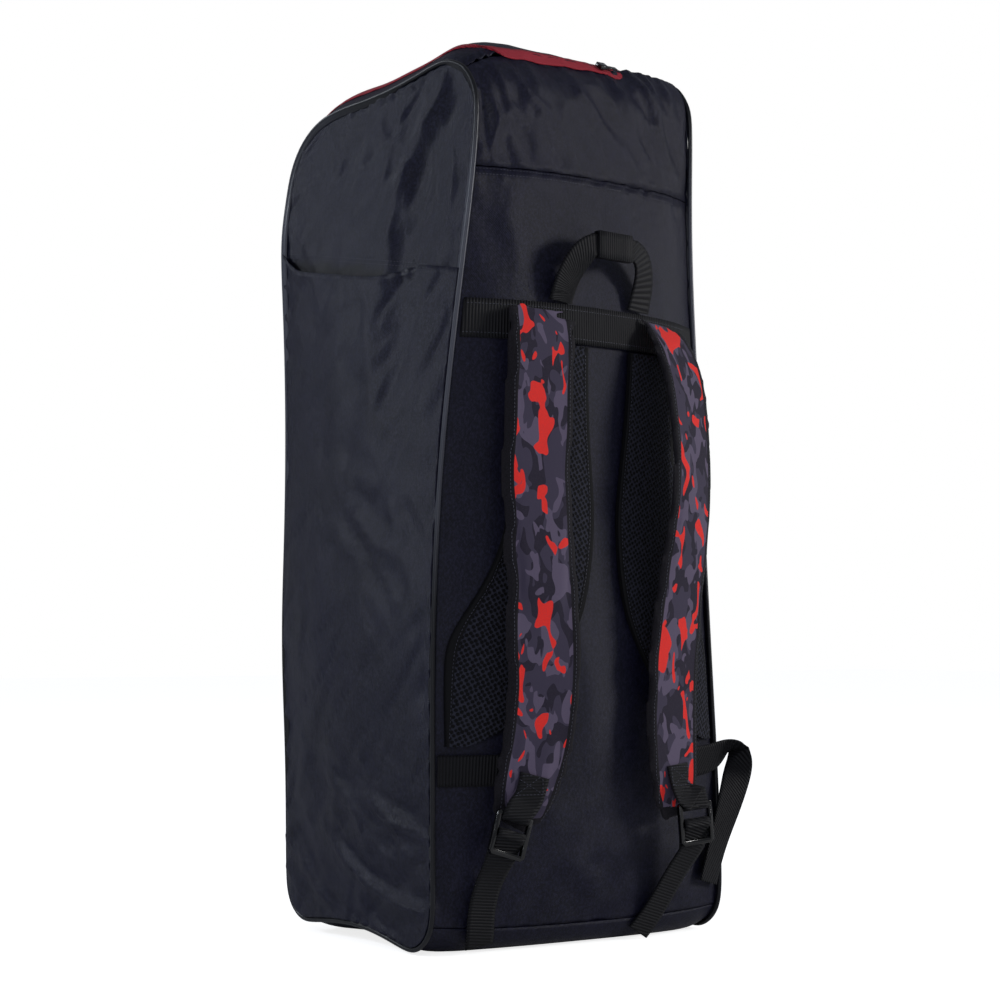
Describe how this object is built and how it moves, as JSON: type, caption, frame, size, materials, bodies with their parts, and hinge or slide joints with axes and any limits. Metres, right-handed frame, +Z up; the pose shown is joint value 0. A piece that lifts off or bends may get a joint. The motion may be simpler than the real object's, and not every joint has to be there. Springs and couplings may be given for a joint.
{
  "type": "cricket kit bag",
  "caption": "Tall soft kit bag with padded carrying straps, a grab handle, side pockets and a zip round the lid; it stands on its base and carries bats, pads and gloves.",
  "frame": {"origin": "centre of the flat base, on the floor", "axes": "+Z up the bag, -Y out of the carrying side with the straps, +X to its right as seen from that side"},
  "size_m": [0.417, 0.3944, 0.9078],
  "materials": {
    "cloth": "plain woven polyester with a soft sheen",
    "cloth_dark": "woven polyester, darker",
    "piping": "corded edge, light on its near side",
    "zip": "woven zip tape",
    "webbing": "ribbed webbing",
    "mesh": "spacer mesh",
    "print": "printed woven cloth, padded",
    "plastic": "moulded, glossy"
  },
  "bodies": {
    "root": {"back_panel_lower": "cloth", "back_panel_upper": "cloth", "top_panel": "cloth", "front_panel": "cloth", "bottom_panel": "cloth", "side_panel_left": "cloth_dark", "side_pocket_left": "cloth_dark", "side_panel_right": "cloth_dark", "side_pocket_right": "cloth_dark", "piping_left": "piping", "piping_right": "piping", "zip_tape": "zip", "yoke_band": "webbing", "buckle_web_left": "webbing", "buckle_web_right": "webbing", "lower_strap_left": "webbing", "lower_strap_right": "webbing", "side_strap_left": "webbing", "side_strap_right": "webbing", "haul_handle": "webbing", "handle_grip": "webbing", "mesh_pad_left": "mesh", "mesh_pad_right": "mesh", "shoulder_strap_left": "print", "shoulder_strap_right": "print", "zip_slider": "plastic", "zip_puller": "plastic", "ladder_buckle_left": "plastic", "ladder_buckle_right": "plastic"}
  },
  "joints": []
}
